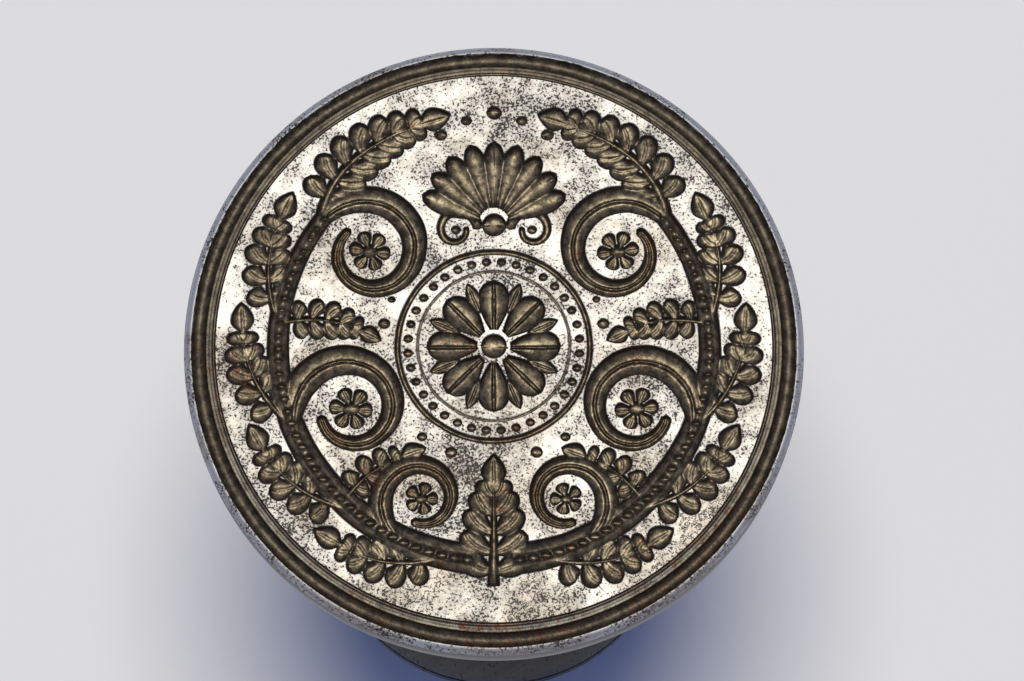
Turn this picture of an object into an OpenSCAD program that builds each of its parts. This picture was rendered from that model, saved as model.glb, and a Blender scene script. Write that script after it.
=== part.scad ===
// Desk seal: an engraved steel die on a turned steel neck and a turned wooden handle.
// It stands on the end of its handle with the engraved face up.
// Millimetres, +Z up along the seal's axis, origin at the middle of the handle's end,
// +Y towards the top of the engraving.

/* [Die] */
// Diameter of the die
die_d = 60; // [54:0.5:76]
// Thickness of the die at its rim
die_t = 4.5; // [4:0.1:8]
// Width of the bevel round the edge, across the face
bevel_w = 0.5; // [0.2:0.05:0.8]
// Height of the bevel down the side
bevel_h = 0.7; // [0.2:0.05:1.2]
// Diameter of the boss behind the die
boss_d = 22; // [16:0.5:26]
// Height of the boss behind the die
boss_h = 3; // [2:0.1:5]

/* [Rim mouldings] */
// Flat land between the bevel and the wide groove
land_w = 0.2; // [0.1:0.05:0.6]
// How far the land lies below the field
land_drop = 0.3; // [0.1:0.05:0.5]
// Width of the half-round groove
wide_groove_w = 1.5; // [1:0.1:2]
// Width of the fillet between the two grooves
fillet_w = 0.5; // [0.2:0.05:0.8]
// How far the fillet lies below the field
fillet_drop = 0.14; // [0.05:0.01:0.2]
// Width of the fine groove round the field
fine_groove_w = 0.44; // [0.42:0.02:0.8]

/* [Scrollwork] */
// Distance of the main stems from the edge of the field
stem_inset = 6; // [5.4:0.1:6.6]
// Width of the main stems
stem_w = 2.4; // [2:0.1:2.8]
// Radius of the first quarter of the large scrolls
large_scroll_r = 5.4; // [4.8:0.1:5.8]
// Radius of the first quarter of the upper scrolls
upper_scroll_r = 5.4; // [4.8:0.1:5.8]
// Radius of the first quarter of the lower scrolls
lower_scroll_r = 3.8; // [3.4:0.1:4.2]
// Width of the large and upper scrolls where they leave the stem
scroll_w = 2.2; // [1.6:0.1:2.3]
// Radius of each quarter of a scroll against the quarter before it
scroll_shrink = 0.82; // [0.78:0.01:0.86]
// Width of each quarter of a scroll against the quarter before it
scroll_taper = 0.9; // [0.85:0.01:0.95]
// Radius of the flower inside a scroll against the room that the scroll leaves it
flower_fill = 0.82; // [0.6:0.02:0.9]
// Depth of the leaves
leaf_depth = 0.85; // [0.4:0.05:1.2]

/* [Medallion] */
// Diameter of the round frame, at its outer groove
frame_d = 18.6; // [17.4:0.1:19]
// Width of the frame's outer groove
frame_groove_w = 0.7; // [0.4:0.05:1]
// Width of the frame's inner groove
frame_line_w = 0.4; // [0.3:0.05:0.6]
// Distance between the frame's two grooves, middle to middle
frame_gap = 1.95; // [1.7:0.05:2.2]
// Beads between the frame's two grooves
frame_beads = 36; // [24:1:40]
// Diameter of a bead
frame_bead_d = 0.95; // [0.6:0.05:1]
// Petals of the rosette
petals = 8; // [5:1:10]
// Length of a petal
petal_l = 4.8; // [3:0.1:5]
// Width of a petal
petal_w = 2.4; // [1:0.1:2.6]
// Diameter of the rosette's middle
rosette_eye_d = 2.5; // [1.5:0.1:2.8]

/* [Shell] */
// Ribs of the shell above the medallion
shell_ribs = 9; // [5:2:11]
// Length of a rib
rib_l = 7; // [5:0.1:8]
// Width of a rib at its outer end
rib_w = 1.9; // [1:0.1:2.1]
// Angle that the ribs spread over
shell_spread = 136; // [100:2:150]
// Radius of the small coils that the shell stands on
coil_r = 2; // [1.6:0.1:2.2]
// Width of the small coils
coil_w = 0.9; // [0.6:0.1:1]

/* [Neck] */
// How far the flange stands back from the die's edge
flange_inset = 0.5; // [0.2:0.1:3]
// Thickness of the flange
flange_t = 2.2; // [1.5:0.1:4]
// Diameter of the neck at its waist
waist_d = 19; // [15:0.5:22]
// Radius of the flare under the flange
flare_r = 15; // [10:0.5:17]
// Step where the flare meets the flange
flare_step = 0.6; // [0.3:0.1:1.5]
// Length of the plain waist that carries the bead
waist_l = 5; // [4:0.1:8]
// Diameter of the bead's round section
bead_d = 4; // [2:0.1:5]
// Radius of the cove under the bead
cove_r = 3.2; // [2:0.1:3.6]
// Step where the cove meets the collar
cove_step = 0.5; // [0.3:0.1:1]
// Diameter of the collar that sits on the ferrule
collar_d = 28; // [27:0.5:32]
// Thickness of the collar
collar_t = 3; // [2:0.1:5]

/* [Ferrule] */
// Outside diameter of the ferrule
ferrule_d = 27; // [25:0.5:28]
// Wall of the ferrule
ferrule_wall = 1.4; // [1:0.1:2]
// Length of the ferrule
ferrule_l = 14; // [8:0.5:20]
// Width of the turned lines round the ferrule
ferrule_line_w = 0.8; // [0.4:0.1:1.2]
// Distance of the turned lines from the ferrule's ends
ferrule_line_inset = 2; // [1:0.1:3]
// Diameter of the ferrule's pins
pin_d = 1.6; // [1:0.1:2.5]
// Length of the ferrule's pins
pin_l = 6; // [3:0.5:7]

/* [Handle] */
// Length of the handle, with the tenon that the ferrule covers
handle_l = 85; // [70:1:110]
// Diameter of the knob
knob_d = 42; // [36:0.5:48]
// Diameter of the flat end that the seal stands on
foot_d = 24; // [20:0.5:28]
// Diameter of the handle at its slimmest
grip_d = 17; // [15:0.5:20]
// Radius of the hollow curve of the grip
grip_curve_r = 90; // [70:1:140]
// Height of the slimmest place above the knob's bead
grip_rise = 10; // [4:0.5:16]
// Diameter of the round section of the knob's bead
knob_bead_d = 4.4; // [3:0.1:6]
// Width of the lines turned round the knob
knob_line_w = 0.7; // [0.4:0.1:1.2]
// Distance between the lines turned round the knob
knob_line_gap = 3; // [2:0.1:6]

/* [Tie rod] */
// Diameter of the tie rod
rod_d = 7; // [5:0.5:9]
// Depth that the tie rod screws into the die's boss
rod_grip = 5; // [3:0.1:6]
// Depth of the counterbore in the handle's end
counterbore_depth = 20; // [18:0.5:26]
// Diameter of the counterbore
counterbore_d = 18; // [17:0.5:20]
// Diameter of the washer
washer_d = 17; // [14:0.5:17]
// Thickness of the washer
washer_t = 1.5; // [1:0.1:2.5]
// Width of the nut across its flats
nut_af = 13; // [10:0.5:14]
// Height of the nut
nut_h = 6; // [4:0.5:7]
// How far the tie rod stands out of the nut
rod_stand_out = 1.5; // [0.5:0.1:2.5]
// Thickness of the plug that closes the counterbore
plug_t = 7; // [4:0.5:8]
// How far the plug lies inside the handle's end
plug_recess = 0.4; // [0.2:0.1:1]

/* [Dowels] */
// Diameter of the dowels between die and flange
dowel_d = 3; // [2:0.1:4]
// Length of the dowels
dowel_l = 4.4; // [3:0.1:5]
// Distance of the dowels from the axis
dowel_r = 17; // [14:0.5:19]

/* [Fits] */
// Gap all round a piece that is pressed or glued in
press_gap = 0.02; // [0.01:0.01:0.05]
// Gap all round a piece that slides in
slide_gap = 0.1; // [0.05:0.05:0.25]

/* [Hidden] */
$fn = 40;

// Heights along the axis, from the handle's end up
neck_l = collar_t + cove_step + cove_r + waist_l + flare_r + flare_step + flange_t;
neck_z = handle_l;
flange_top = neck_z + neck_l;
face_z = flange_top + die_t;
waist_top = flange_top - flange_t - flare_step - flare_r;
shoulder_z = handle_l - ferrule_l;
knob_z = sqrt(pow(knob_d / 2, 2) - pow(foot_d / 2, 2));

// The knob's bead sits where the knob has narrowed to the grip
knob_bead_z = knob_z + sqrt(pow(knob_d / 2, 2) - pow(grip_d / 2 + knob_bead_d / 2, 2)) + knob_bead_d / 4;
grip_z = knob_bead_z + grip_rise;
tenon_d = ferrule_d - 2 * ferrule_wall - 2 * press_gap;
washer_z = counterbore_depth - washer_t;
nut_z = washer_z - nut_h;
rod_low = nut_z - rod_stand_out;
rod_top = flange_top - boss_h + rod_grip;
rod_bore_d = rod_d + 2 * slide_gap;

// Radii of the rim mouldings, from the edge inwards
edge_r = die_d / 2;
wide_groove_out = edge_r - bevel_w - land_w;
wide_groove_r = wide_groove_out - wide_groove_w / 2;
fine_groove_r = wide_groove_out - wide_groove_w - fillet_w - fine_groove_w / 2;
field_r = fine_groove_r - fine_groove_w / 2;

// Bearings of the scrollwork on the right half, counter-clockwise from +X
stem_r = field_r - stem_inset;
stem_from = -86;
upper_scroll_at = 38;
large_scroll_at = -24;
lower_scroll_at = -65;

// Leaves of the right half: bearing, distance from the field's edge, turn, length and width
leaves = [
    [56.5, 3.8, 94, 14, 4],
    [9.3, 10.8, 179, 8, 3.4],
    [-46.5, 10.3, 192, 6.4, 2.8]
];

// Pairs of leaves along the outer side of each stem: their bearings, then turn, length and width of each leaf
spray_at = [-75, -47, -19, 9];
spray = [[80, 8.6, 2.8], [48, 4.4, 1.9]];

// Leaves where the two stems meet: turn, length and width
fan = [[0, 9.6, 2.8], [21, 6, 2], [-21, 6, 2]];
fan_inset = 4.4;

// Hollows struck in the open ground of the right half: place and diameter
hollows = [[5.2, 21, 1.3], [2.7, 22.4, 1.1], [10.6, 2.2, 1.2], [6.9, -8.9, 1], [4.1, -10.4, 1.2]];
top_hollow = [0, 23.2, 1.5];
hollow_depth = 0.45;

// The clear height above the face that every cut reaches
cut_clear = 0.2;

// Width of a round end against the cut that it closes
end_swell = 1.06;

// A pointed leaf with a keel along its middle, where two large round scoops meet
module leaf_cut(l, w, depth) {
    half_l = l / 2;
    half_w = w / 2;
    plan_r = (half_l * half_l / half_w + half_w) / 2;
    lift = (half_l * half_l - depth * depth) / (2 * depth);
    scoop_r = sqrt(plan_r * plan_r + lift * lift);
    intersection() {
        translate([0, plan_r - half_w, lift]) sphere(scoop_r);
        translate([0, half_w - plan_r, lift]) sphere(scoop_r);
        translate([-l, -w, -2 * depth]) cube([2 * l, 2 * w, 2 * depth + cut_clear]);
    }
}

// A round hollow struck with a ball
module pellet_cut(d, depth) {
    ball_r = (d * d / 4 + depth * depth) / (2 * depth);
    translate([0, 0, ball_r - depth]) sphere(ball_r);
}

// A half-round groove along an arc about the origin
module arc_cut(r, angle, w) {
    rotate_extrude(angle = angle) translate([r, 0]) circle(d = w);
}

// A small flower of petals about a hollow
module flower_cut(r) {
    flower_petals = 6;
    for (k = [0:flower_petals - 1])
        rotate(k * 360 / flower_petals) translate([0.62 * r, 0]) leaf_cut(0.76 * r, 0.6 * r, 0.4 * r);
    pellet_cut(0.7 * r, 0.4 * r);
}

// A volute of quarter circles, each smaller and finer than the one before it, with a round end
module scroll_cut(r, w, quarters) {
    arc_cut(r, 90, w);
    if (quarters > 1)
        rotate(90) translate([r * (1 - scroll_shrink), 0])
            scroll_cut(r * scroll_shrink, w * scroll_taper, quarters - 1) children();
    else {
        rotate(90) translate([r, 0]) sphere(d = w * end_swell);
        children();
    }
}

// A scroll that leaves the main stem at a bearing and curls about a flower
module branch_cut(bearing, r, w) {
    quarters = 4;
    last_r = r * pow(scroll_shrink, quarters - 1);
    last_w = w * pow(scroll_taper, quarters - 1);
    rotate(bearing) translate([stem_r - r, 0])
        scroll_cut(r, w, quarters) flower_cut(flower_fill * (last_r - last_w / 2));
}

// The right half of the scrollwork
module scrollwork_cut() {
    rotate(stem_from) arc_cut(stem_r, upper_scroll_at - stem_from, stem_w);
    branch_cut(upper_scroll_at, upper_scroll_r, scroll_w);
    branch_cut(large_scroll_at, large_scroll_r, scroll_w);
    branch_cut(lower_scroll_at, lower_scroll_r, scroll_w * scroll_taper * scroll_taper);
    for (leaf = leaves)
        rotate(leaf[0]) translate([field_r - leaf[1], 0])
            rotate(leaf[2]) leaf_cut(leaf[3], leaf[4], leaf_depth);
    for (bearing = spray_at, leaf = spray)
        rotate(bearing) translate([stem_r + 0.4 * stem_w, 0])
            rotate(leaf[0]) translate([leaf[1] / 2 + leaf[2] / 3, 0]) leaf_cut(leaf[1], leaf[2], leaf_depth);
    for (hollow = hollows)
        translate([hollow[0], hollow[1]]) pellet_cut(hollow[2], hollow_depth);
}

// A round frame of two grooves and a ring of beads about a rosette
module medallion_cut() {
    bead_depth = 0.4;
    arc_cut(frame_d / 2, 360, frame_groove_w);
    arc_cut(frame_d / 2 - frame_gap, 360, frame_line_w);
    for (k = [0:frame_beads - 1])
        rotate((k + 0.5) * 360 / frame_beads) translate([(frame_d - frame_gap) / 2, 0])
            pellet_cut(frame_bead_d, bead_depth);
    for (k = [0:petals - 1])
        rotate(90 + k * 360 / petals) translate([(rosette_eye_d + petal_l) / 2, 0])
            leaf_cut(petal_l, petal_w, leaf_depth);
    pellet_cut(rosette_eye_d, leaf_depth);
}

// A ribbed shell that opens upwards from its hinge, on two small coils
module shell_cut() {
    hinge_y = frame_d / 2 + frame_groove_w + 2.2;
    hinge_w = 0.5;
    translate([0, hinge_y]) {
        for (k = [0:shell_ribs - 1])
            rotate(90 - shell_spread / 2 + k * shell_spread / (shell_ribs - 1)) rotate([0, 90, 0]) {
                translate([0, 0, rib_l / 4]) cylinder(h = rib_l * 3 / 4, d1 = hinge_w, d2 = rib_w);
                translate([0, 0, rib_l]) sphere(d = rib_w * end_swell);
            }
        pellet_cut(rosette_eye_d, leaf_depth);
        for (side = [0, 1])
            mirror([side, 0, 0]) translate([0.6 * rosette_eye_d + coil_r, -0.3 * rosette_eye_d])
                mirror([1, 0, 0]) scroll_cut(coil_r, coil_w, 4) pellet_cut(coil_w, coil_w / 2);
    }
}

// A fan of leaves where the two stems meet
module fan_cut() {
    translate([0, fan_inset - field_r])
        for (leaf = fan)
            rotate(90 + leaf[0]) translate([leaf[1] / 2 + fan[0][2] / 3, 0])
                leaf_cut(leaf[1], leaf[2], leaf_depth);
}

// Outline of the die, turned about the axis
module die_profile() {
    polygon([
        [0, flange_top], [edge_r, flange_top], [edge_r, face_z - land_drop - bevel_h],
        [edge_r - bevel_w, face_z - land_drop], [wide_groove_r, face_z - land_drop],
        [wide_groove_r, face_z - fillet_drop], [fine_groove_r, face_z - fillet_drop],
        [fine_groove_r, face_z], [0, face_z]
    ]);
    translate([0, flange_top - boss_h]) square([boss_d / 2, boss_h + die_t / 2]);
}

module seal_die() color("silver") {
    difference() {
        rotate_extrude() die_profile();
        translate([0, 0, face_z - fillet_drop]) arc_cut(wide_groove_r, 360, wide_groove_w);
        translate([0, 0, face_z]) arc_cut(fine_groove_r, 360, fine_groove_w);
        translate([0, 0, face_z]) scrollwork_cut();
        translate([0, 0, face_z]) mirror([1, 0, 0]) scrollwork_cut();
        translate([0, 0, face_z]) medallion_cut();
        translate([0, 0, face_z]) shell_cut();
        translate([0, 0, face_z]) fan_cut();
        translate([top_hollow[0], top_hollow[1], face_z]) pellet_cut(top_hollow[2], hollow_depth);
        translate([0, 0, flange_top - boss_h - 1]) cylinder(h = rod_grip + 1 + slide_gap, d = rod_bore_d);
        dowels(press_gap);
    }
}

// Two dowels across the joint between die and flange, with a gap all round for their holes
module dowels(gap) {
    for (side = [-1, 1])
        translate([side * dowel_r, 0, flange_top - dowel_l / 2 - gap])
            cylinder(h = dowel_l + 2 * gap, d = dowel_d + 2 * gap);
}

module die_dowels() color("dimgray") dowels(0);

// Outline of the neck from the collar up to the flange, turned about the axis
module neck_profile() {
    cove_r_out = waist_d / 2 + cove_r;
    flare_r_out = waist_d / 2 + flare_r;
    cove_z = neck_z + collar_t;
    waist_z = cove_z + cove_step + cove_r;
    translate([0, neck_z]) square([collar_d / 2, collar_t]);
    difference() {
        translate([0, cove_z - collar_t / 2]) square([cove_r_out, collar_t / 2 + cove_step + cove_r]);
        translate([cove_r_out, waist_z]) circle(cove_r);
    }
    translate([0, waist_z - cove_r / 2]) square([waist_d / 2, waist_l + cove_r]);
    translate([waist_d / 2, waist_z + waist_l / 2]) circle(d = bead_d);
    difference() {
        translate([0, waist_top]) square([flare_r_out, flare_r + flare_step + flange_t / 2]);
        translate([flare_r_out, waist_top]) circle(flare_r);
    }
    translate([0, flange_top - flange_t]) square([edge_r - flange_inset, flange_t]);
}

module neck() color("slategray") {
    difference() {
        rotate_extrude() neck_profile();
        translate([0, 0, flange_top - boss_h - slide_gap])
            cylinder(h = boss_h + 1 + slide_gap, d = boss_d + 2 * slide_gap);
        translate([0, 0, neck_z - 1]) cylinder(h = neck_l + 2, d = rod_bore_d);
        dowels(press_gap);
    }
}

module tie_rod() color("gray") translate([0, 0, rod_low]) cylinder(h = rod_top - rod_low, d = rod_d);

module ferrule() color("lightslategray") {
    difference() {
        translate([0, 0, shoulder_z]) cylinder(h = ferrule_l, d = ferrule_d);
        translate([0, 0, shoulder_z - 1]) cylinder(h = ferrule_l + 2, d = ferrule_d - 2 * ferrule_wall);
        for (z = [shoulder_z + ferrule_line_inset, handle_l - ferrule_line_inset])
            translate([0, 0, z]) arc_cut(ferrule_d / 2, 360, ferrule_line_w);
        pins(press_gap);
    }
}

// Two pins through the ferrule into the tenon, with a gap all round for their holes
module pins(gap) {
    for (side = [0, 180])
        rotate(side) translate([ferrule_d / 2 - pin_l - gap, 0, handle_l - ferrule_l / 2])
            rotate([0, 90, 0]) cylinder(h = pin_l + gap + (gap > 0 ? 1 : 0), d = pin_d + 2 * gap);
}

module ferrule_pins() color("dimgray") intersection() {
    pins(0);
    translate([0, 0, shoulder_z]) cylinder(h = ferrule_l, d = ferrule_d);
}

// Outline of the handle from its foot to the end of its tenon, turned about the axis
module handle_profile() {
    intersection() {
        translate([0, knob_z]) circle(knob_d / 2);
        square([knob_d, knob_bead_z]);
    }
    translate([grip_d / 2, knob_bead_z]) circle(d = knob_bead_d);
    difference() {
        translate([0, knob_bead_z - knob_bead_d / 4])
            square([ferrule_d / 2, shoulder_z - knob_bead_z + knob_bead_d / 4]);
        translate([grip_d / 2 + grip_curve_r, grip_z]) circle(grip_curve_r);
    }
    translate([0, shoulder_z - 1]) square([tenon_d / 2, ferrule_l + 1]);
}

module handle() color("saddlebrown") {
    difference() {
        rotate_extrude() handle_profile();
        translate([0, 0, -1]) cylinder(h = counterbore_depth + 1, d = counterbore_d);
        translate([0, 0, -1]) cylinder(h = handle_l + 2, d = rod_bore_d);
        for (z = [knob_z - knob_line_gap / 2, knob_z + knob_line_gap / 2])
            translate([0, 0, z]) arc_cut(sqrt(pow(knob_d / 2, 2) - pow(z - knob_z, 2)), 360, knob_line_w);
        pins(press_gap);
    }
}

module rod_washer() color("darkgray") {
    difference() {
        translate([0, 0, washer_z]) cylinder(h = washer_t, d = washer_d);
        translate([0, 0, washer_z - 1]) cylinder(h = washer_t + 2, d = rod_bore_d);
    }
}

module rod_nut() color("gray") {
    difference() {
        translate([0, 0, nut_z]) cylinder(h = nut_h, d = nut_af / cos(30), $fn = 6);
        translate([0, 0, nut_z - 1]) cylinder(h = nut_h + 2, d = rod_d + 2 * press_gap);
    }
}

module end_plug() color("sienna") {
    translate([0, 0, plug_recess]) cylinder(h = plug_t, d = counterbore_d - 2 * press_gap);
}

seal_die();
die_dowels();
neck();
tie_rod();
ferrule();
ferrule_pins();
handle();
rod_washer();
rod_nut();
end_plug();
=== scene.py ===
import math

import bpy
import numpy as np
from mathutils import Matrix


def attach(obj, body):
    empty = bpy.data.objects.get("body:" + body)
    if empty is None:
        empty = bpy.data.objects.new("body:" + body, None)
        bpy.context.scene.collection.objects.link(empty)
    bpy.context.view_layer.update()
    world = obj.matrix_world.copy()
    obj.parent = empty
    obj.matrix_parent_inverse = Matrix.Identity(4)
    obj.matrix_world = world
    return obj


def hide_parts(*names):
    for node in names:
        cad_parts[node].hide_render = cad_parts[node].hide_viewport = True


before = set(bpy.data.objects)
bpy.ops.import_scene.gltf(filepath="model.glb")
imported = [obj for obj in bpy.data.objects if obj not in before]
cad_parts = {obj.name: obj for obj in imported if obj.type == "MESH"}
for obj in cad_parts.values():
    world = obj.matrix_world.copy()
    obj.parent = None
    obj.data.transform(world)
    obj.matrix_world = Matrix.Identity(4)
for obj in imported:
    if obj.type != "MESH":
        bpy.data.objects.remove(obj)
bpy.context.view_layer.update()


# Engraved die
# A steel disc, turned with a bevel, a half-round groove and a fine groove round its field, then engraved by
# hand with gouges and ball punches. It screws onto the tie rod, and two dowels in its back stop it turning.
mm = 0.001
die_r = 30 * mm
die_t = 4.5 * mm
face_z = 119 * mm
back_z = face_z - die_t
boss_r = 11 * mm
boss_h = 3 * mm
rod_bore_r = 3.6 * mm
rod_bore_top = back_z - boss_h + 5.1 * mm
bevel_w = 0.5 * mm
bevel_h = 0.7 * mm
bevel_r = die_r - bevel_w
land_drop = 0.3 * mm
worn_corner = 0.12 * mm
wide_groove = (28.55 * mm, 0.75 * mm)
fine_groove = (27.08 * mm, 0.22 * mm)
groove_edge = wide_groove[0] + wide_groove[1]
fillet_edge = wide_groove[0] - wide_groove[1]
fine_edge = fine_groove[0] + fine_groove[1]
field_r = fine_groove[0] - fine_groove[1]
fillet_drop = 0.14 * mm
fillet_line = (27.52 * mm, 0.07 * mm)
dowel_at = 17 * mm
dowel_bore_r = 1.52 * mm
dowel_bore_h = 2.22 * mm


def half_round(middle, radius, top, outer_top, steps):
    """Section of a half-round groove from its outer edge, which may lie lower, to its inner edge at top."""
    first = math.asin((top - outer_top) / radius)
    turns = np.linspace(first, math.pi, steps)
    return [(middle + radius * math.cos(a), top - radius * math.sin(a)) for a in turns]


def lathe(name, outline, segments):
    """A closed solid turned about the axis, from an outline of radius and height with both ends on it."""
    outline = np.array(outline)
    turn = np.linspace(0, 2 * math.pi, segments, endpoint=False)
    ring = outline[1:-1]
    rim = np.empty((len(ring), segments, 3))
    rim[:, :, 0] = ring[:, :1] * np.cos(turn)
    rim[:, :, 1] = ring[:, :1] * np.sin(turn)
    rim[:, :, 2] = ring[:, 1:]
    points = np.concatenate([rim.reshape(-1, 3), [(0, 0, outline[0, 1]), (0, 0, outline[-1, 1])]])
    here = np.arange(segments)
    after = (here + 1) % segments
    low = (np.arange(len(ring) - 1) * segments)[:, None]
    high = low + segments
    quads = np.stack([low + here, low + after, high + after, high + here], 2).reshape(-1, 4)
    last = (len(ring) - 1) * segments
    first_pole = np.full(segments, len(points) - 2)
    last_pole = np.full(segments, len(points) - 1)
    caps = np.concatenate([
        np.stack([after, here, first_pole], 1),
        np.stack([last + here, last + after, last_pole], 1),
    ])
    corners = np.concatenate([quads.ravel(), caps.ravel()])
    starts = np.concatenate([np.arange(len(quads)) * 4, quads.size + np.arange(len(caps)) * 3])
    mesh = bpy.data.meshes.new(name)
    mesh.vertices.add(len(points))
    mesh.vertices.foreach_set("co", points.ravel())
    mesh.loops.add(len(corners))
    mesh.loops.foreach_set("vertex_index", corners.astype(np.int32))
    mesh.polygons.add(len(starts))
    mesh.polygons.foreach_set("loop_start", starts.astype(np.int32))
    mesh.update(calc_edges=True)
    mesh.validate()
    piece = bpy.data.objects.new(name, mesh)
    bpy.context.scene.collection.objects.link(piece)
    return piece


field_step = 0.08 * mm
die_segments = 1680
fillet_z = face_z - fillet_drop
land_z = face_z - land_drop
field_rings = np.arange(field_r - field_step, field_step / 2, -field_step)
die_outline = [(0, rod_bore_top), (rod_bore_r, rod_bore_top), (rod_bore_r, back_z - boss_h)]
die_outline += [(boss_r, back_z - boss_h), (boss_r, back_z), (die_r, back_z)]
die_outline += [(die_r, land_z - bevel_h)]
die_outline += [(bevel_r + worn_corner, land_z - worn_corner * bevel_h / bevel_w)]
die_outline += [(bevel_r - worn_corner, land_z)]
die_outline += half_round(*wide_groove, fillet_z, land_z, 17)
die_outline += half_round(*fillet_line, fillet_z, fillet_z, 5)
die_outline += half_round(*fine_groove, face_z, fillet_z, 7)
die_outline += [(r, face_z) for r in field_rings]
die_outline += [(0, face_z)]
die = lathe("seal_die_engraved", die_outline, die_segments)


def polar(radius, bearing):
    """A point at a bearing in degrees, counter-clockwise from the right."""
    return radius * np.array([math.cos(math.radians(bearing)), math.sin(math.radians(bearing))])


def arc(radius, start, end, count=60):
    return np.array([polar(radius, a) for a in np.linspace(start, end, count)])


def bend(start, pull, end, count=16):
    """A bent line from start to end, drawn towards pull."""
    t = np.linspace(0, 1, count)[:, None]
    return (1 - t) ** 2 * np.array(start) + 2 * t * (1 - t) * np.array(pull) + t ** 2 * np.array(end)


def straight(start, end, count=18):
    return bend(start, (np.array(start) + np.array(end)) / 2, end, count)


def volute(centre, radius, bearing, turn, shrink):
    """A coil that starts at a bearing and shrinks by the same share at each quarter turn."""
    turns = np.linspace(0, turn, int(abs(turn) / 5))
    return np.array([centre + polar(radius * shrink ** (abs(a) / 90), bearing + a) for a in turns])


def lengths_along(path):
    return np.concatenate([[0], np.cumsum(np.hypot(*np.diff(path, axis=0).T))])


def point_on(path, share):
    """The point at a share of a path's length, and the direction of the path there."""
    along = lengths_along(path)

    def spot(at):
        return np.array([np.interp(at * along[-1], along, path[:, k]) for k in (0, 1)])

    ahead = spot(share + 0.02) - spot(share - 0.02)
    return spot(share), ahead / np.hypot(*ahead)


def turned(direction, degrees):
    c, s = polar(1, degrees)
    return np.array([c * direction[0] - s * direction[1], s * direction[0] + c * direction[1]])


def pointed(width, belly):
    """Width along a leaf that comes to a point at both ends and is widest at belly."""
    def at(t):
        rise = t / belly if t < belly else (1 - t) / (1 - belly)
        return width * math.sin(math.pi / 2 * rise) ** 0.8
    return at


def lobed(width):
    """Width along a lobe that is narrow at its root and round at its end."""
    def at(t):
        root = 0.28 + 0.72 * math.sin(min(1, t / 0.66) * math.pi / 2)
        return width * root * math.sqrt(max(0, 1 - (max(0, t - 0.6) / 0.4) ** 2))
    return at


def tapering(first, last):
    """Width along a stem that narrows evenly and has round ends."""
    def at(t):
        end = min(1, min(t, 1 - t) / 0.02)
        return (first + (last - first) * t) * math.sqrt(1 - (1 - end) ** 2)
    return at


def swelling(first, widest, last):
    """Width along a scroll that leaves its stem narrow, swells soon and narrows towards its round end."""
    shares = (0, 0.1, 0.2, 0.35, 1)
    widths = (first, 0.3 * first + 0.7 * widest, widest, 0.97 * widest, last)

    def at(t):
        end = min(1, (1 - t) / 0.02)
        return np.interp(t, shares, widths) * math.sqrt(1 - (1 - end) ** 2)
    return at


# The drawing of the cuts: each is a centre line with a width along it, a depth and the height of a rib along
# its middle, in millimetres on the face
drawn_cuts = []


def cut(path, width, depth, rib=0):
    path = np.array(path)
    along = lengths_along(path)
    half = [max(width(s) / 2, 0.01) for s in along / along[-1]]
    drawn_cuts.append((path, half, depth, rib))


def pair(path, width, depth, rib=0):
    """The same cut on the right half and mirrored on the left half."""
    cut(path, width, depth, rib)
    cut(np.array(path) * (-1, 1), width, depth, rib)


def punch(make, centre, diameter, depth):
    """A round hollow struck with a ball punch."""
    t = (1 - np.cos(np.linspace(0, math.pi, 13))) / 2
    path = np.array(centre) + (t[:, None] - 0.5) * (diameter, 0)
    make(path, lambda s: diameter * math.sqrt(max(0, 1 - (2 * s - 1) ** 2)), depth)


def leaf(make, midline, lobes, left, right, depth, stalk):
    """A leaf whose lobes spring from both sides of a bent midline and lean towards its tip."""
    first = 0.1
    fatness = 1.4
    pitch = lengths_along(midline)[-1] * (1 - first) / (lobes + 0.3)
    for k in range(lobes):
        share = k / (lobes - 1)
        root, ahead = point_on(midline, first + (1 - first) * (k + 0.3) / (lobes + 0.3))
        swell = math.sin(math.pi * (0.32 + 0.54 * share)) ** 0.8
        lean = 64 - 38 * share
        for side, reach in ((1, left * swell), (-1, right * swell)):
            tip = root + reach * turned(ahead, side * lean)
            pull = root + 0.62 * reach * turned(ahead, side * (lean + 24))
            make(bend(root, pull, tip), lobed(pitch * fatness), depth, 0.1)
    root, ahead = point_on(midline, 1 - 0.5 * pitch / lengths_along(midline)[-1])
    make(straight(root, root + 1.8 * pitch * ahead), pointed(pitch * fatness, 0.4), depth, 0.1)
    make(midline, lambda t: stalk * (1 - 0.7 * t), 1.2 * depth)


def flower(centre, radius, petals, start):
    for k in range(petals):
        bearing = start + k * 360 / petals
        petal = straight(centre + polar(0.25 * radius, bearing), centre + polar(radius, bearing))
        pair(petal, lobed(4.6 * radius / petals), 0.75, 0.12)
    punch(pair, centre, 0.75 * radius, 0.8)


# Round medallion: a groove, a ring of beads and a line about a rosette
for ring_r, ring_w, ring_depth in ((9.3, 0.7, 0.55), (7.35, 0.4, 0.35)):
    cut(arc(ring_r, 0, 360, 145), lambda t: ring_w, ring_depth)
beads = 36
for k in range(beads):
    punch(cut, polar(8.3, (k + 0.5) * 360 / beads), 0.95, 0.45)
petals = 8
for k in range(petals):
    bearing = 90 + k * 360 / petals
    between = bearing + 180 / petals
    cut(straight(polar(3.4, between), polar(6.75, between)), pointed(1.5, 0.55), 0.5, 0.12)
    cut(straight(polar(1.6, bearing), polar(6.5, bearing)), lobed(3.3), 0.9, 0.25)
punch(cut, (0, 0), 2.5, 0.85)

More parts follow.
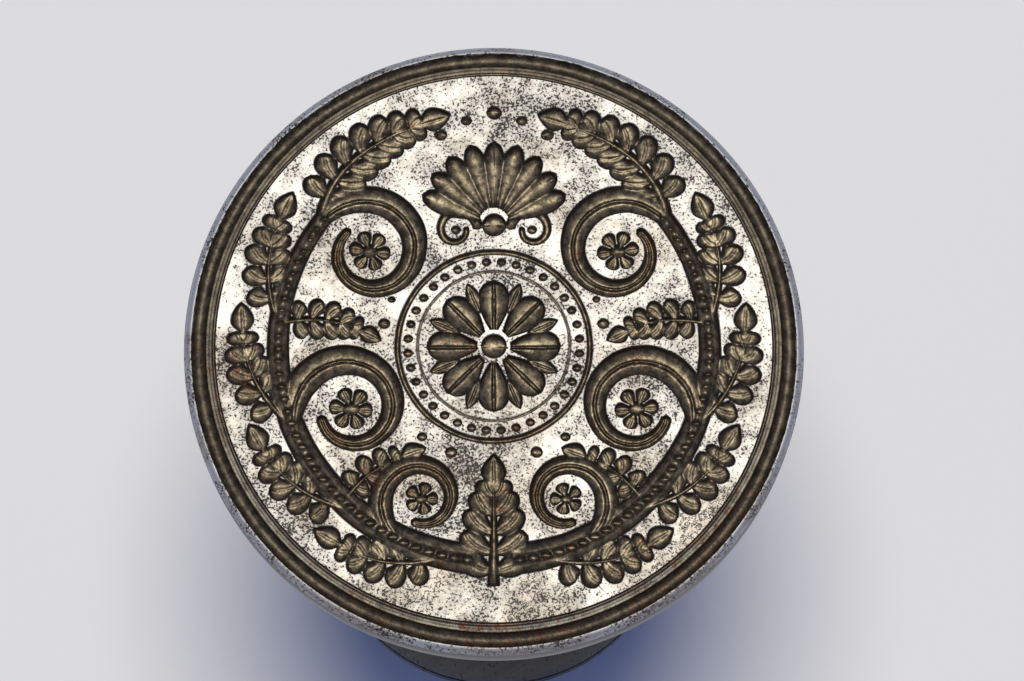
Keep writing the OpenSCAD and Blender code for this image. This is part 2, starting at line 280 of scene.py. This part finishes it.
# Main stems along the rim with a row of pearls, and scrolls that curl inwards from them about a flower
stem_r = 20.86
pair(arc(stem_r, -87, 41), tapering(3.2, 1.8), 0.95)
pearls = 36
for share in np.linspace(0, 1, pearls):
    punch(pair, polar(stem_r, -83 + 121 * share), 1.25 - 0.5 * share, 1.35)
scrolls = (
    (-24, 5.8, (1.2, 3.2, 1.1), 372, 2.15, 6),
    (38, 5.6, (1.9, 2.9, 1), 372, 2.05, 6),
    (-65, 4.4, (1.2, 2.5, 0.9), 360, 1.6, 5),
)
for bearing, radius, widths, turn, flower_r, flower_petals in scrolls:
    centre = polar(stem_r - radius, bearing)
    pair(volute(centre, radius, bearing, turn, 0.85), swelling(*widths), 1.05, 0.35)
    flower(centre, flower_r, flower_petals, bearing + 30)

# Leaves along the rim, over the upper scrolls and in the gaps between scrolls
for bearing in (-75, -47, -19, 9):
    root = polar(stem_r + 0.6, bearing)
    rim_leaf = bend(root, polar(stem_r + 3.7, bearing + 12), polar(stem_r + 3.5, bearing + 24))
    leaf(pair, rim_leaf, 5, 2.2, 2.5, 0.75, 0.9)
leaf(pair, bend(polar(21.3, 38), polar(25.1, 52), polar(23.3, 74)), 7, 3, 2.9, 0.85, 1.2)
leaf(pair, bend(polar(20.3, 7), polar(15.8, 12), polar(12.5, 6)), 5, 2.1, 2, 0.75, 0.8)
leaf(pair, bend(polar(20.1, -46), polar(16.4, -44.5), polar(13.4, -52)), 4, 1.6, 1.8, 0.75, 0.8)
leaf(cut, straight((0, -23.4), (0, -12.8)), 5, 3.5, 3.5, 0.9, 1.3)

# Shell above the medallion, on two small coils
hinge = np.array([0, 12.2])
ribs = 9
for k in range(ribs):
    bearing = 90 + (k - (ribs - 1) / 2) * 17
    rib_end = 7.2 + math.sin(math.radians(bearing))
    cut(straight(hinge + polar(1.5, bearing), hinge + polar(rib_end, bearing)), lobed(2.45), 0.95)
punch(cut, (0, 12), 2.4, 0.8)
pair(volute(np.array([3.7, 11.5]), 2.2, 180, -380, 0.82), tapering(1.2, 0.7), 0.65)
punch(pair, (3.7, 11.5), 1, 0.5)

# Single punches in the open ground
punch(cut, (0, 23.2), 1.5, 0.6)
for x, y, diameter in (
    (2.7, 22.4, 1.1), (5.2, 21, 1.3), (9.9, 4.6, 0.8), (10.6, 2.2, 1.2), (6.9, -8.9, 1), (4.1, -10.4, 1.2),
):
    punch(pair, (x, y), diameter, 0.5)

# The drawing becomes lines with those values on their points
drawing_mesh = bpy.data.meshes.new("engraving_drawing")
paths, halves, depths, cut_ribs = zip(*drawn_cuts)
line_sizes = [len(path) for path in paths]
line_points = np.concatenate(paths) * mm
joined = np.setdiff1d(np.arange(len(line_points)), np.cumsum(line_sizes) - 1)
drawing_mesh.from_pydata([(x, y, face_z) for x, y in line_points], [(k, k + 1) for k in joined], [])
line_values = {
    "half_width": np.concatenate(halves),
    "depth": np.repeat(depths, line_sizes),
    "rib": np.repeat(cut_ribs, line_sizes),
}
for value_name, values in line_values.items():
    drawing_mesh.attributes.new(value_name, "FLOAT", "POINT").data.foreach_set("value", values * mm)
drawing = bpy.data.objects.new("engraving_drawing", drawing_mesh)


def node(tree, kind, inputs=None, **settings):
    """A new node with its settings, and with its inputs set or joined."""
    made = tree.nodes.new(kind)
    for name, value in settings.items():
        setattr(made, name, value)
    for name, value in (inputs or {}).items():
        if isinstance(value, bpy.types.NodeSocket):
            tree.links.new(value, made.inputs[name])
        else:
            made.inputs[name].default_value = value
    return made


def calc(tree, operation, *values):
    return node(tree, "ShaderNodeMath", dict(enumerate(values)), operation=operation).outputs[0]


def vector_calc(tree, operation, *values):
    return node(tree, "ShaderNodeVectorMath", dict(enumerate(values)), operation=operation).outputs[0]


def parts_of(tree, vector):
    """The X, Y and Z of a vector."""
    return node(tree, "ShaderNodeSeparateXYZ", {0: vector}).outputs


def vector_of(tree, **parts):
    return node(tree, "ShaderNodeCombineXYZ", parts).outputs[0]


def ease(tree, value, low, high, first=0, last=1):
    """A smooth step from first to last while a value goes from low to high."""
    inputs = {"Value": value, "From Min": low, "From Max": high, "To Min": first, "To Max": last}
    return node(tree, "ShaderNodeMapRange", inputs, interpolation_type="SMOOTHSTEP").outputs["Result"]


def shape(tree, kind, inputs, output="Geometry", **settings):
    """One output of a new geometry node."""
    return node(tree, "GeometryNode" + kind, inputs, **settings).outputs[output]


def stored(tree, name):
    return shape(tree, "InputNamedAttribute", {"Name": name}, "Attribute", data_type="FLOAT")


def engraving_tree():
    """Sinks a flat face to the lowest of the scoops that follow the lines of a drawing."""
    tree = bpy.data.node_groups.new("engraving", "GeometryNodeTree")
    tree.interface.new_socket("Geometry", in_out="INPUT", socket_type="NodeSocketGeometry")
    tree.interface.new_socket("Drawing", in_out="INPUT", socket_type="NodeSocketObject")
    for size in ("Face height", "Wall width", "Rib width", "Hand waver"):
        tree.interface.new_socket(size, in_out="INPUT", socket_type="NodeSocketFloat")
    tree.interface.new_socket("Steel", in_out="INPUT", socket_type="NodeSocketMaterial")
    tree.interface.new_socket("Geometry", in_out="OUTPUT", socket_type="NodeSocketGeometry")
    given = node(tree, "NodeGroupInput").outputs

    # A strip along each line, as wide as the cut, with its points set closer towards its edges
    lines = shape(tree, "ObjectInfo", {"Object": given["Drawing"]})
    lines = shape(tree, "MeshToCurve", {"Mesh": lines}, "Curve")
    lines = shape(tree, "SetCurveNormal", {"Curve": lines}, "Curve", mode="Z_UP")
    section = shape(tree, "CurvePrimitiveLine", {"Start": (-1, 0, 0), "End": (1, 0, 0)}, "Curve")
    section = shape(tree, "ResampleCurve", {"Curve": section, "Count": 45}, "Curve")
    even = parts_of(tree, shape(tree, "InputPosition", {}, "Position"))["X"]
    across = calc(tree, "SINE", calc(tree, "MULTIPLY", even, math.pi / 2))
    named = {"Geometry": section, "Name": "across", "Value": across}
    section = shape(tree, "StoreNamedAttribute", named, data_type="FLOAT", domain="POINT")
    spread = vector_of(tree, X=stored(tree, "across"))
    section = shape(tree, "SetPosition", {"Geometry": section, "Position": spread})
    half_width = stored(tree, "half_width")
    swept = {"Curve": lines, "Profile Curve": section, "Scale": half_width}
    strips = shape(tree, "CurveToMesh", swept, "Mesh")

    # How deep the scoop is: a steep wall, a bowl and a rib along the middle
    side = calc(tree, "ABSOLUTE", stored(tree, "across"))
    off_middle = calc(tree, "MULTIPLY", side, half_width)
    off_edge = calc(tree, "SUBTRACT", half_width, off_middle)
    wall = ease(tree, off_edge, 0, given["Wall width"])
    round_floor = calc(tree, "SQRT", calc(tree, "SUBTRACT", 1, calc(tree, "MULTIPLY", side, side)))
    bowl = calc(tree, "MULTIPLY_ADD", round_floor, 0.7, 0.3)
    depth = calc(tree, "MULTIPLY", stored(tree, "depth"), calc(tree, "MULTIPLY", wall, bowl))
    off_wall = ease(tree, off_edge, 0, calc(tree, "MULTIPLY", given["Wall width"], 2))
    near_middle = ease(tree, off_middle, 0, given["Rib width"], 1, 0)
    rib = calc(tree, "MULTIPLY", stored(tree, "rib"), calc(tree, "MULTIPLY", off_wall, near_middle))
    sunk = vector_of(tree, Z=calc(tree, "SUBTRACT", rib, depth))
    scoops = shape(tree, "SetPosition", {"Geometry": strips, "Offset": sunk})

    # A ray from below each point of the face meets the lowest scoop there first
    here = shape(tree, "InputPosition", {}, "Position")
    almost_face = calc(tree, "SUBTRACT", given["Face height"], 0.001 * mm)
    on_face = calc(tree, "GREATER_THAN", parts_of(tree, here)["Z"], almost_face)
    waves = node(tree, "ShaderNodeTexNoise", {"Vector": here, "Scale": 300, "Detail": 2, "Roughness": 0.6})
    centred = vector_calc(tree, "SUBTRACT", waves.outputs["Color"], (0.5, 0.5, 0.5))
    waver = vector_calc(tree, "MULTIPLY", centred, given["Hand waver"])
    below = vector_calc(tree, "ADD", vector_calc(tree, "ADD", here, waver), (0, 0, -3 * mm))
    ray = node(tree, "GeometryNodeRaycast", {
        "Target Geometry": scoops, "Source Position": below, "Ray Direction": (0, 0, 1), "Ray Length": 4 * mm,
    }).outputs
    found = parts_of(tree, ray["Hit Position"])["Z"]
    drop = calc(tree, "MINIMUM", 0, calc(tree, "SUBTRACT", found, given["Face height"]))
    hit = calc(tree, "MULTIPLY", on_face, ray["Is Hit"])
    move = vector_of(tree, Z=calc(tree, "MULTIPLY", hit, drop))
    face = shape(tree, "SetPosition", {"Geometry": given["Geometry"], "Offset": move})
    face = shape(tree, "RealizeInstances", {"Geometry": face})
    face = shape(tree, "SetMaterial", {"Geometry": face, "Material": given["Steel"]})
    node(tree, "NodeGroupOutput", {"Geometry": face})
    return tree


def grown(piece, tree, **values):
    """Runs a tree on a piece with its inputs set, and keeps the result as the piece's plain mesh."""
    modifier = piece.modifiers.new(tree.name, "NODES")
    modifier.node_group = tree
    for socket in tree.interface.items_tree:
        plain_name = socket.name.lower().replace(" ", "_")
        if socket.in_out == "INPUT" and plain_name in values:
            modifier[socket.identifier] = values[plain_name]
    finished(piece)


def finished(piece):
    """Makes a piece's modifiers part of its mesh."""
    mesh = bpy.data.meshes.new_from_object(piece.evaluated_get(bpy.context.evaluated_depsgraph_get()))
    piece.modifiers.clear()
    piece.data = mesh


def noise(tree, place, scale, detail=2, rough=0.5, distortion=0):
    inputs = {"Vector": place, "Scale": scale, "Detail": detail, "Roughness": rough, "Distortion": distortion}
    return node(tree, "ShaderNodeTexNoise", inputs).outputs["Fac"]


def blend(tree, share, first, second):
    """A colour that goes from the first to the second."""
    made = node(tree, "ShaderNodeMix", {"Factor": share}, data_type="RGBA")
    for socket, value in ((made.inputs[6], first), (made.inputs[7], second)):
        if isinstance(value, bpy.types.NodeSocket):
            tree.links.new(value, socket)
        else:
            socket.default_value = (*value, 1)
    return made.outputs[2]


def off_axis(tree, x, y):
    return calc(tree, "SQRT", calc(tree, "MULTIPLY_ADD", x, x, calc(tree, "MULTIPLY", y, y)))


def finish(name):
    """A new material: its tree, its shader and the place on the piece in metres."""
    material = bpy.data.materials.new(name)
    material.use_nodes = True
    tree = material.node_tree
    return material, tree, tree.nodes["Principled BSDF"], node(tree, "ShaderNodeTexCoord").outputs["Object"]


def join(tree, shader, **values):
    """Joins node outputs to the shader's inputs."""
    for name, value in values.items():
        tree.links.new(value, shader.inputs[name.replace("_", " ")])


def bumped(tree, height, strength, depth, **settings):
    inputs = {"Height": height, "Strength": strength, "Distance": depth}
    return node(tree, "ShaderNodeBump", inputs, **settings)


# Where the steel is cut, turned or worn: the side, the cuts inside the ragged edge of the rim, and the wide
# groove, the fillet and the fine groove
engraved_steel, tree, shader, place = finish("engraved_steel")
x, y, z = parts_of(tree, place)
axis_r = off_axis(tree, x, y)
below_face = calc(tree, "SUBTRACT", face_z, z)
outside = ease(tree, axis_r, bevel_r - 0.1 * mm, bevel_r + 0.1 * mm)
on_side = ease(tree, below_face, land_drop + 0.8 * bevel_h, land_drop + 1.1 * bevel_h, 0, outside)
off_side = calc(tree, "SUBTRACT", 1, on_side)
ragged = calc(tree, "MULTIPLY_ADD", noise(tree, place, 900, 3, 0.6), 0.5 * mm, -0.25 * mm)
inside_rim = ease(tree, calc(tree, "ADD", axis_r, ragged), groove_edge - 0.1 * mm, groove_edge, 1, 0)
in_cut = calc(tree, "MULTIPLY", ease(tree, below_face, 0.02 * mm, 0.14 * mm), inside_rim)
in_groove = ease(tree, axis_r, fine_edge - 0.1 * mm, fine_edge + 0.1 * mm)
off_wide_groove = ease(tree, axis_r, fillet_edge - 0.14 * mm, fillet_edge, 1, 0)
on_fillet = calc(tree, "MULTIPLY", in_groove, off_wide_groove)
off_field = ease(tree, axis_r, field_r - 0.02 * mm, field_r + 0.06 * mm)
off_fillet = ease(tree, axis_r, fine_edge - 0.08 * mm, fine_edge + 0.02 * mm, 1, 0)
in_fine_groove = calc(tree, "MULTIPLY", off_field, off_fillet)
upright = parts_of(tree, node(tree, "ShaderNodeNewGeometry").outputs["Normal"])["Z"]

# Bright worn face with dull patches and clouds of fine pits, a greyer rim, and a side painted dark as shade:
# its steel is coloured far darker than the same steel on the face and the neck
clouds = noise(tree, place, 150, 5, 0.65)
blotches = noise(tree, place, 700, 3, 0.6)
specks = noise(tree, place, 4200, 2, 0.7)
cloudiness = calc(tree, "MULTIPLY_ADD", blotches, 0.35, calc(tree, "MULTIPLY", clouds, 0.65))
pit_share = calc(tree, "MULTIPLY_ADD", cloudiness, 0.75, calc(tree, "MULTIPLY", specks, 0.85))
pits = ease(tree, calc(tree, "MULTIPLY_ADD", on_side, -0.09, pit_share), 0.868, 0.893)
dulled = ease(tree, pit_share, 0.78, 0.88, 0, 0.5)
greyed = ease(tree, cloudiness, 0.36, 0.62)
bright = blend(tree, greyed, (0.82, 0.8, 0.755), (0.56, 0.54, 0.505))
dull = blend(tree, dulled, bright, (0.34, 0.33, 0.31))
on_rim = ease(tree, axis_r, groove_edge - 0.1 * mm, groove_edge + 0.05 * mm)
rim_grey = blend(tree, on_rim, dull, (0.56, 0.565, 0.575))
# painted shade: the side is coloured as dark as the shadowed table it mirrors, not as the steel it is
painted_side_shade = blend(tree, on_side, rim_grey, (0.125, 0.127, 0.133))

# Dark brown patina in the cuts, with painted shade that makes it darkest on their walls and in the grooves,
# and a painted highlight that lightens the floors facing up; and rubbed off the fillet
mottle = noise(tree, place, 1100, 6, 0.7)
floor_tone = blend(tree, ease(tree, mottle, 0.41, 0.61), (0.042, 0.033, 0.022), (0.145, 0.118, 0.082))
# painted shade on steep walls and painted highlight on floors that face up, set by the slope of the surface
wall_shade_from = calc(tree, "MULTIPLY_ADD", in_groove, -0.5, 0.5)
wall_shade_to = calc(tree, "MULTIPLY_ADD", in_groove, -0.2, 0.97)
patina_with_painted_shade = blend(tree, ease(tree, upright, wall_shade_from, wall_shade_to), (0.06, 0.047, 0.033), floor_tone)
# painted shade: the fine groove, and less so the fillet and the wide groove, are coloured darker than the
# cuts
groove_shade_share = calc(tree, "MULTIPLY_ADD", in_fine_groove, 0.75, calc(tree, "MULTIPLY", in_groove, 0.45))
patina_and_groove_shade = blend(tree, groove_shade_share, patina_with_painted_shade, (0.028, 0.022, 0.018))
rubbed = calc(tree, "MULTIPLY", on_fillet, ease(tree, blotches, 0.42, 0.6, 0.3, 1))
# more bare steel shows on the fillet towards -Y
bare_more_towards_minus_y = calc(tree, "MULTIPLY", rubbed, ease(tree, y, -20 * mm, 8 * mm, 0.85, 0.2))
rubbed_patina_and_shade = blend(tree, bare_more_towards_minus_y, patina_and_groove_shade, (0.2, 0.191, 0.173))

# Specks of rust in the cuts, stains on the face, and thin crooked lines that rust has eaten into it
low_side = ease(tree, y, -20 * mm, 22 * mm, 0.1, 0)
rust_clouds = calc(tree, "ADD", noise(tree, place, 120, 4, 0.6, 0.4), low_side)
rust = calc(tree, "MULTIPLY", ease(tree, rust_clouds, 0.57, 0.7), ease(tree, mottle, 0.5, 0.62))
rusty_patina_and_shade = blend(tree, rust, rubbed_patina_and_shade, (0.075, 0.027, 0.014))
stain = calc(tree, "MULTIPLY", ease(tree, rust_clouds, 0.52, 0.7, 0, 0.4), off_side)
stains_and_side_shade = blend(tree, stain, painted_side_shade, (0.36, 0.27, 0.18))
crooked = calc(tree, "ABSOLUTE", calc(tree, "SUBTRACT", noise(tree, place, 1300, 4, 0.6, 0.4), 0.5))
eaten = calc(tree, "MULTIPLY", ease(tree, crooked, 0.008, 0.026, 1, 0), ease(tree, rust_clouds, 0.62, 0.68))
holes = calc(tree, "MAXIMUM", pits, calc(tree, "MULTIPLY", eaten, off_side))
worn_and_side_shade = blend(tree, holes, stains_and_side_shade, (0.06, 0.052, 0.044))
face_roughness = calc(tree, "MULTIPLY_ADD", greyed, 0.05, 0.64)
steel_roughness = calc(tree, "MULTIPLY_ADD", on_side, -0.28, face_roughness)
cut_gloss = calc(tree, "MULTIPLY_ADD", in_groove, 0.1, -0.27)
grit = noise(tree, place, 3600, 3, 0.6)
gritty = calc(tree, "MULTIPLY_ADD", mottle, 0.5, calc(tree, "MULTIPLY", grit, 0.35))
hollows = calc(tree, "MULTIPLY_ADD", holes, -0.6, gritty)
join(
    tree, shader,
    Base_Color=blend(tree, in_cut, worn_and_side_shade, rusty_patina_and_shade),
    Metallic=calc(tree, "MULTIPLY_ADD", calc(tree, "MAXIMUM", in_cut, holes), -0.25, 1),
    Roughness=calc(tree, "MULTIPLY_ADD", in_cut, cut_gloss, steel_roughness),
    Normal=bumped(tree, hollows, 0.55, 0.05 * mm).outputs["Normal"],
)

grown(
    die, engraving_tree(), drawing=drawing, face_height=face_z, wall_width=0.26 * mm, rib_width=0.22 * mm,
    hand_waver=0.16 * mm, steel=engraved_steel,
)
bpy.data.objects.remove(drawing)


def read(items, name, width, kind=np.float64):
    """One field of all the items of a mesh, with a row for each item where it has several values."""
    values = np.empty(len(items) * width, kind)
    items.foreach_get(name, values)
    return values.reshape(-1, width) if width > 1 else values


# The shading of the finely meshed field, evened out between neighbours
field_size = len(field_rings) * die_segments
field_normals = read(die.data.vertex_normals, "vector", 3)[-2 - field_size:-2]
field_normals = field_normals.reshape(len(field_rings), die_segments, 3)
for direction in (0, 1):
    before = np.roll(field_normals, 1, direction)
    after = np.roll(field_normals, -1, direction)
    field_normals = (before + 2 * field_normals + after) / 4
field_normals[[0, -1]] = (0, 0, 1)

# The mesh is thinned where it is flat, kept level and inside its radius, and bored in the back for the dowels
most_triangles = 188000
thinning = die.modifiers.new("thinning", "DECIMATE")
thinning.ratio = most_triangles / sum(len(face.vertices) - 2 for face in die.data.polygons)
finished(die)
points = read(die.data.vertices, "co", 3)
point_r = np.hypot(points[:, 0], points[:, 1])
points[:, :2] *= np.minimum(1, die_r / np.maximum(point_r, mm))[:, None]
level = 0.012 * mm
points[(points[:, 2] > face_z - level) & (point_r < wide_groove[0]), 2] = face_z
die.data.vertices.foreach_set("co", points.ravel())
for side in (-1, 1):
    bore_outline = [(0, -mm), (dowel_bore_r, -mm), (dowel_bore_r, dowel_bore_h), (0, dowel_bore_h)]
    bore = lathe("dowel_bore", bore_outline, 32)
    bore.location = (side * dowel_at, 0, back_z)
    boring = die.modifiers.new("boring", "BOOLEAN")
    boring.solver = "MANIFOLD"
    boring.object = bore
    finished(die)
    bpy.data.objects.remove(bore)

# Creases where the flat face breaks into a cut, and at the turned corners
mesh = die.data
mesh.set_sharp_from_angle(angle=math.radians(48))
faces_up = read(mesh.polygons, "normal", 3)[:, 2] > 0.98
flat = faces_up & (read(mesh.polygons, "center", 3)[:, 2] > face_z - level)
flat_corner = np.repeat(flat, read(mesh.polygons, "loop_total", 1, np.int32))
flat_sides = np.bincount(read(mesh.loops, "edge_index", 1, np.int32), flat_corner, len(mesh.edges))
sharp = read(mesh.edges, "use_edge_sharp", 1, bool)
mesh.edges.foreach_set("use_edge_sharp", sharp | (flat_sides == 1))

# The face shades flat, and the cuts keep the shading of the fine mesh
points = read(mesh.vertices, "co", 3)
point_r = np.hypot(points[:, 0], points[:, 1])
nearest_ring = np.rint((field_r - point_r) / field_step).astype(int) - 1
nearest_ring = np.clip(nearest_ring, 0, len(field_rings) - 1)
point_turn = np.arctan2(points[:, 1], points[:, 0]) / (2 * math.pi)
nearest_turn = np.rint(point_turn * die_segments).astype(int) % die_segments
in_field = (point_r < field_r - field_step) & (points[:, 2] > face_z - 2 * mm)
corner_point = read(mesh.loops, "vertex_index", 1, np.int32)
shading = read(mesh.corner_normals, "vector", 3)
shading[flat_corner] = (0, 0, 1)
carved = in_field[corner_point] & ~flat_corner
shading[carved] = field_normals[nearest_ring, nearest_turn][corner_point[carved]]
mesh.normals_split_custom_set(shading)
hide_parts("seal_die")
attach(die, "root")


# Neck
# A turned piece of the same steel, dulled grey by age: a flange that carries the die, a flare, a bead and a
# collar that sits on the ferrule. The tie rod runs through it and holds it.
turned_steel, tree, shader, place = finish("turned_steel")
x, y, z = parts_of(tree, place)
across_rings = vector_of(tree, X=off_axis(tree, x, y), Z=z)
tool_rings = noise(tree, across_rings, 2400, 2, 0.6)
stains = noise(tree, place, 85, 4, 0.6, 0.3)
flecks = noise(tree, place, 1500, 3, 0.6)
dark_flecks = ease(tree, calc(tree, "MULTIPLY_ADD", stains, 0.5, flecks), 0.84, 0.92)
grey = blend(tree, ease(tree, stains, 0.35, 0.68), (0.46, 0.45, 0.435), (0.22, 0.205, 0.185))
fleck_rust = blend(tree, ease(tree, stains, 0.5, 0.7), (0.07, 0.062, 0.053), (0.12, 0.055, 0.028))
ring_roughness = calc(tree, "MULTIPLY_ADD", tool_rings, 0.14, 0.16)
ringed = bumped(tree, tool_rings, 0.12, 0.04 * mm)
flecked = bumped(tree, dark_flecks, 0.3, 0.04 * mm, invert=True)
tree.links.new(ringed.outputs["Normal"], flecked.inputs["Normal"])
join(
    tree, shader,
    Base_Color=blend(tree, dark_flecks, grey, fleck_rust),
    Metallic=calc(tree, "MULTIPLY_ADD", dark_flecks, -0.4, 1),
    Roughness=calc(tree, "MULTIPLY_ADD", stains, 0.3, ring_roughness),
    Normal=flecked.outputs["Normal"],
)


def dress(material, *nodes):
    """Gives modelled pieces their finish."""
    for name in nodes:
        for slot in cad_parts[name].material_slots:
            slot.material = material


dress(turned_steel, "neck")


# Ferrule
# A ring of the same turned steel, driven over the handle's tenon so that the wood can't split when the tie
# rod is drawn tight. Two pins keep it there.
dress(turned_steel, "ferrule")


# Fastenings
# Plain machined steel: the tie rod that pulls die, neck and handle together, its nut and washer in the
# handle's end, the two pins through the ferrule and the two dowels behind the die.
machined_steel, tree, shader, place = finish("machined_steel")
oil_stains = noise(tree, place, 160, 4, 0.6)
file_marks = noise(tree, place, 1900, 2, 0.6)
filed_roughness = calc(tree, "MULTIPLY_ADD", file_marks, 0.15, 0.15)
shader.inputs["Metallic"].default_value = 1
join(
    tree, shader,
    Base_Color=blend(tree, ease(tree, oil_stains, 0.38, 0.66), (0.42, 0.41, 0.4), (0.17, 0.15, 0.13)),
    Roughness=calc(tree, "MULTIPLY_ADD", oil_stains, 0.3, filed_roughness),
    Normal=bumped(tree, file_marks, 0.15, 0.03 * mm).outputs["Normal"],
)
dress(machined_steel, "tie_rod", "rod_nut", "rod_washer", "ferrule_pins", "die_dowels")


# Handle
# Blackened close-grained hardwood turned between centres, with the grain along its length: a tenon for the
# ferrule, a slim grip, a bead and a ball knob, polished by hands.
def hardwood(name, heart, early, late):
    """Polished wood with growth rings round a heart beside the turning axis, and pores along the grain."""
    material, tree, shader, place = finish(name)
    across = parts_of(tree, place)
    drift = noise(tree, place, 26, 2)
    sway = calc(tree, "MULTIPLY_ADD", drift, 5 * mm, -2.5 * mm)
    heart_x = calc(tree, "ADD", calc(tree, "SUBTRACT", across["X"], heart[0]), sway)
    heart_r = off_axis(tree, heart_x, calc(tree, "SUBTRACT", across["Y"], heart[1]))
    ring_pitch = 1.9 * mm
    ring = calc(tree, "FRACT", calc(tree, "DIVIDE", heart_r, ring_pitch))
    late_wood = ease(tree, ring, 0.35, 0.97)
    along_grain = node(tree, "ShaderNodeMapping", {"Vector": place, "Scale": (1, 1, 0.045)}).outputs[0]
    streaks = noise(tree, along_grain, 700, 3, 0.6)
    pores = ease(tree, noise(tree, along_grain, 3000, 2, 0.5), 0.6, 0.68)
    figure = calc(tree, "MULTIPLY_ADD", late_wood, 0.55, calc(tree, "MULTIPLY", streaks, 0.6))
    wood = blend(tree, ease(tree, figure, 0.15, 0.85), early, late)
    handled = noise(tree, place, 55, 3, 0.55)
    darkened = blend(tree, ease(tree, handled, 0.45, 0.7), wood, tuple(0.45 * c for c in late))
    handled_roughness = calc(tree, "MULTIPLY_ADD", handled, 0.22, 0.24)
    shader.inputs["Specular IOR Level"].default_value = 0.25
    join(
        tree, shader,
        Base_Color=blend(tree, pores, darkened, tuple(0.45 * c for c in late)),
        Roughness=calc(tree, "MULTIPLY_ADD", pores, 0.2, handled_roughness),
        Normal=bumped(tree, pores, 0.2, 0.05 * mm, invert=True).outputs["Normal"],
    )
    return material


handle_wood = hardwood("handle_hardwood", (-13 * mm, 7 * mm), (0.036, 0.025, 0.02), (0.014, 0.011, 0.0095))
dress(handle_wood, "handle")


# End plug
# A disc of the same wood with its own run of the grain, glued into the counterbore over the nut, a hair below
# the handle's end.
plug_wood = hardwood("plug_hardwood", (4 * mm, -22 * mm), (0.066, 0.044, 0.032), (0.028, 0.02, 0.015))
dress(plug_wood, "end_plug")


# Studio
# A pale table, a soft light nearly overhead, a dim bluish room, and a camera that looks down steeply at the
# face.
table_mesh = bpy.data.meshes.new("table")
table_half = 3
table_corners = np.array([(-1, -1, 0), (1, -1, 0), (1, 1, 0), (-1, 1, 0)])
table_mesh.from_pydata(table_half * table_corners, [], [(0, 1, 2, 3)])
table = bpy.data.objects.new("table", table_mesh)
bpy.context.scene.collection.objects.link(table)
table_paper, tree, shader, place = finish("table_paper")
shader.inputs["Roughness"].default_value = 0.7
join(tree, shader, Base_Color=blend(tree, noise(tree, place, 6), (0.86, 0.855, 0.845), (0.89, 0.885, 0.875)))
table_mesh.materials.append(table_paper)

softbox = bpy.data.lights.new("softbox", "AREA")
softbox.shape = "DISK"
softbox.size = 0.3
softbox.energy = 8.75
softbox.color = (1, 0.945, 0.765)
softbox_rig = bpy.data.objects.new("softbox", softbox)
softbox_tilt = math.radians(3.4)
softbox_rig.location = (0, math.sin(softbox_tilt), face_z + math.cos(softbox_tilt))
softbox_rig.rotation_euler = (-softbox_tilt, 0, 0)
bpy.context.scene.collection.objects.link(softbox_rig)

room = bpy.data.worlds.new("room")
bpy.context.scene.world = room
room.use_nodes = True
room.node_tree.nodes["Background"].inputs["Color"].default_value = (0.39, 0.52, 1.1, 1)
room.node_tree.nodes["Background"].inputs["Strength"].default_value = 0.3

camera = bpy.data.cameras.new("camera")
camera.sensor_width = 36
camera.lens = 152.9
camera.clip_start = 0.01
camera_rise = math.radians(78.75)
camera_far = 0.42
camera_rig = bpy.data.objects.new("camera", camera)
aim = np.array([1.75 * mm, 0.53 * mm, face_z])
camera_rig.location = aim + camera_far * np.array([0, -math.cos(camera_rise), math.sin(camera_rise)])
camera_rig.rotation_euler = (math.pi / 2 - camera_rise, 0, 0)
bpy.context.scene.collection.objects.link(camera_rig)
bpy.context.scene.camera = camera_rig
bpy.context.scene.view_settings.view_transform = "Standard"
